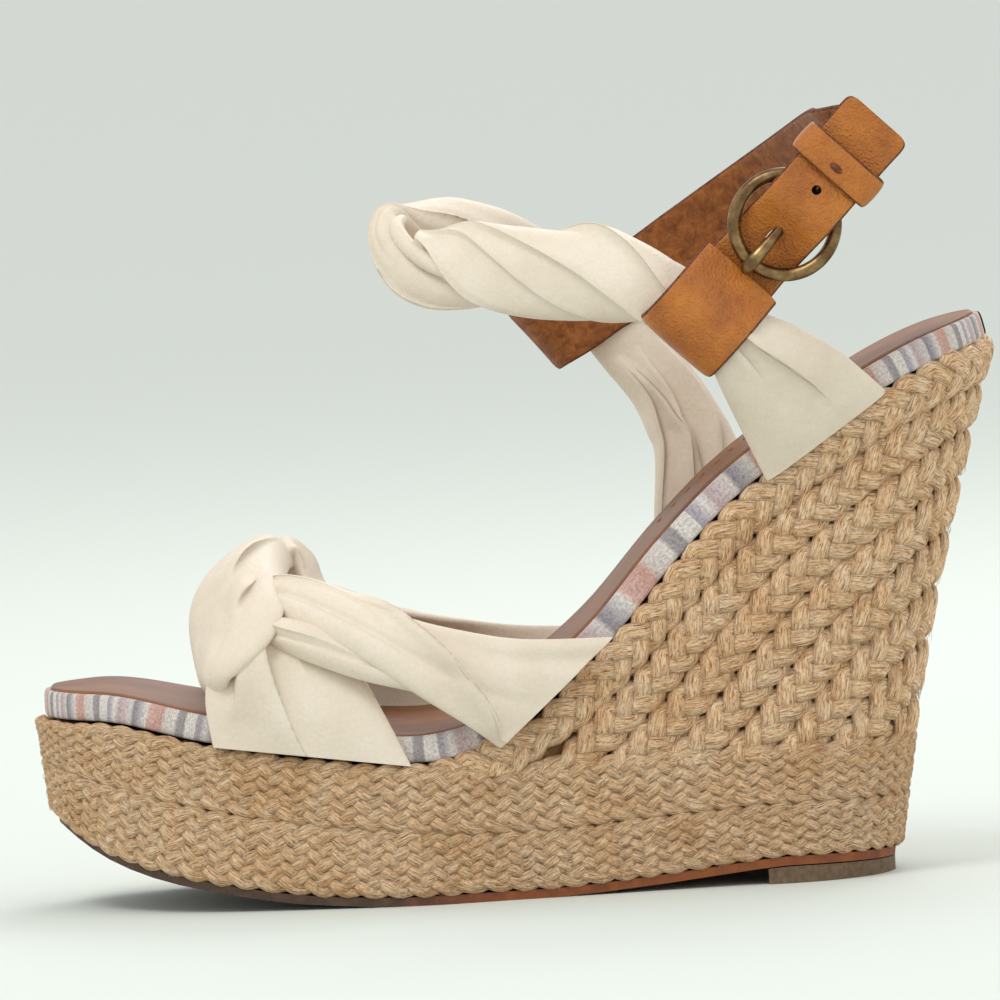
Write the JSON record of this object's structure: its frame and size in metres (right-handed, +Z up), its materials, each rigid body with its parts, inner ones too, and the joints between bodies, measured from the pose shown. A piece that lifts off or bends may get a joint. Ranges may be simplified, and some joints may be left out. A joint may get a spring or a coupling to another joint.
{
  "type": "wedge sandal",
  "caption": "Left wedge sandal with a jute-plaited platform wedge, padded leather footbed, knotted leather vamp and a twisted ankle wrap closed by a tan strap with a round buckle.",
  "frame": {"origin": "on the ground, under the middle of the shoe's box", "axes": "+X from the toe to the heel, +Y to the inner (medial) side, +Z up"},
  "size_m": [0.221, 0.091, 0.1758],
  "materials": {
    "jute": "natural jute plait, undyed",
    "cork": "agglomerated cork",
    "rubber_sole": "matt brown rubber",
    "fibreboard": "pressed cellulose board",
    "foam": "open-cell foam",
    "sock_leather": "smooth brown leather",
    "striped_cotton": "woven striped cotton",
    "cream_leather": "soft washed cream nappa",
    "tan_leather": "vegetable-tanned, waxed",
    "antique_brass": "antiqued, tumbled"
  },
  "bodies": {
    "sandal": {"outsole": "rubber_sole", "heel_lift": "rubber_sole", "wedge_core": "cork", "band_lower": "jute", "band_upper": "jute", "plait_row_1": "jute", "plait_row_2": "jute", "plait_row_3": "jute", "plait_row_4": "jute", "plait_row_5": "jute", "plait_row_6": "jute", "plait_row_7": "jute", "plait_row_8": "jute", "insole_board": "fibreboard", "footbed_foam": "foam", "sock_lining": "sock_leather", "footbed_binding": "striped_cotton", "vamp_bight_outer": "cream_leather", "vamp_bight_inner": "cream_leather", "ankle_wrap": "cream_leather", "billet_strap": "tan_leather", "buckle_strap": "tan_leather"},
    "keeper": {"strap_keeper": "tan_leather"},
    "ring": {"buckle_ring": "antique_brass"},
    "prong": {"buckle_prong": "antique_brass"}
  },
  "joints": [
    {"name": "ring_swivel", "type": "hinge", "parent": "sandal", "child": "ring", "pos_m": [0.07065, -0.03911, 0.15683], "axis": [-0.7193, 0, 0.6947], "range_deg": [0, 4]},
    {"name": "prong_lift", "type": "hinge", "parent": "ring", "child": "prong", "pos_m": [0.07065, -0.03911, 0.15683], "axis": [-0.7193, 0, 0.6947], "range_deg": [0, 4]},
    {"name": "keeper_slide", "type": "slide", "parent": "sandal", "child": "keeper", "axis": [0.6947, 0, 0.7193], "range_m": [0, 0.004]}
  ]
}
